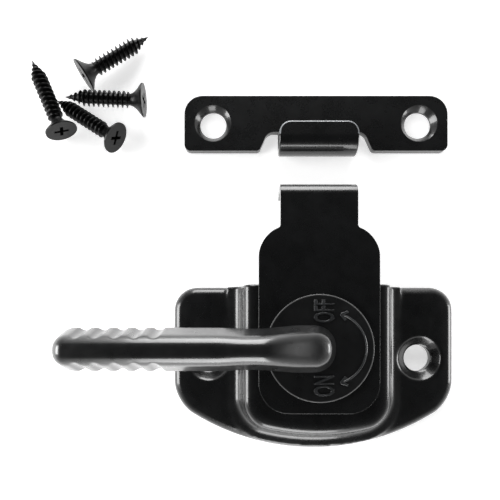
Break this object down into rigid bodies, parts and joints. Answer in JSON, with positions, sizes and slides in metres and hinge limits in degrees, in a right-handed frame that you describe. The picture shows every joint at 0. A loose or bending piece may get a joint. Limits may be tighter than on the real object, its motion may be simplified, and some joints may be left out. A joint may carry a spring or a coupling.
{
  "type": "cam draw latch",
  "caption": "Surface cam latch: a lever turns an eccentric disc that draws a flat hook strap towards a low bracket, with a strike plate and loose wood screws.",
  "frame": {"origin": "centre of the whole kit's outline, on the mounting plane that the bracket and the strike plate rest on", "axes": "+Z out of the mounting plane, towards the lever; +Y from the bracket towards the strike plate, the way the hook reaches; +X to the right with the released lever pointing left"},
  "size_m": [0.082, 0.081, 0.02],
  "materials": {
    "black_paint": "satin gloss black paint on pressed steel",
    "black_casting": "satin gloss black paint on a zinc casting",
    "zinc_steel": "bright zinc plate",
    "black_phosphate": "dull black phosphate"
  },
  "bodies": {
    "base": {"base_bracket": "black_paint"},
    "lever": {"lever_cam": "black_casting", "pivot_stud": "zinc_steel", "back_washer": "zinc_steel", "wave_washer": "zinc_steel"},
    "strap": {"hook_strap": "black_paint"},
    "strike": {"strike_plate": "black_paint"},
    "screw_1": {"mounting_screw_1": "black_phosphate"},
    "screw_2": {"mounting_screw_2": "black_phosphate"},
    "screw_3": {"mounting_screw_3": "black_phosphate"},
    "screw_4": {"mounting_screw_4": "black_phosphate"}
  },
  "joints": [
    {"name": "lever_turn", "type": "hinge", "parent": "base", "child": "lever", "pos_m": [0.01367, -0.0229, 0.009], "axis": [0, 0, -1], "range_deg": [0, 180]},
    {"name": "strap_swivel", "type": "hinge", "parent": "lever", "child": "strap", "pos_m": [0.01367, -0.02066, 0.009], "axis": [0, 0, -1], "range_deg": [-180, 0]},
    {"name": "strike_slide", "type": "slide", "parent": "base", "child": "strike", "axis": [0, 1, 0], "range_m": [-0.006, 0.01]},
    {"name": "screw_1_lift", "type": "slide", "parent": "base", "child": "screw_1", "axis": [0, 0, 1], "range_m": [0, 0.03]},
    {"name": "screw_2_lift", "type": "slide", "parent": "base", "child": "screw_2", "axis": [0, 0, 1], "range_m": [0, 0.03]},
    {"name": "screw_3_lift", "type": "slide", "parent": "base", "child": "screw_3", "axis": [0, 0, 1], "range_m": [0, 0.03]},
    {"name": "screw_4_draw", "type": "slide", "parent": "base", "child": "screw_4", "axis": [0.83, -0.5577, 0], "range_m": [0, 0.012]}
  ],
  "couplings": [
    {"joint": "strap_swivel", "follows": "lever_turn", "ratio": -1}
  ]
}
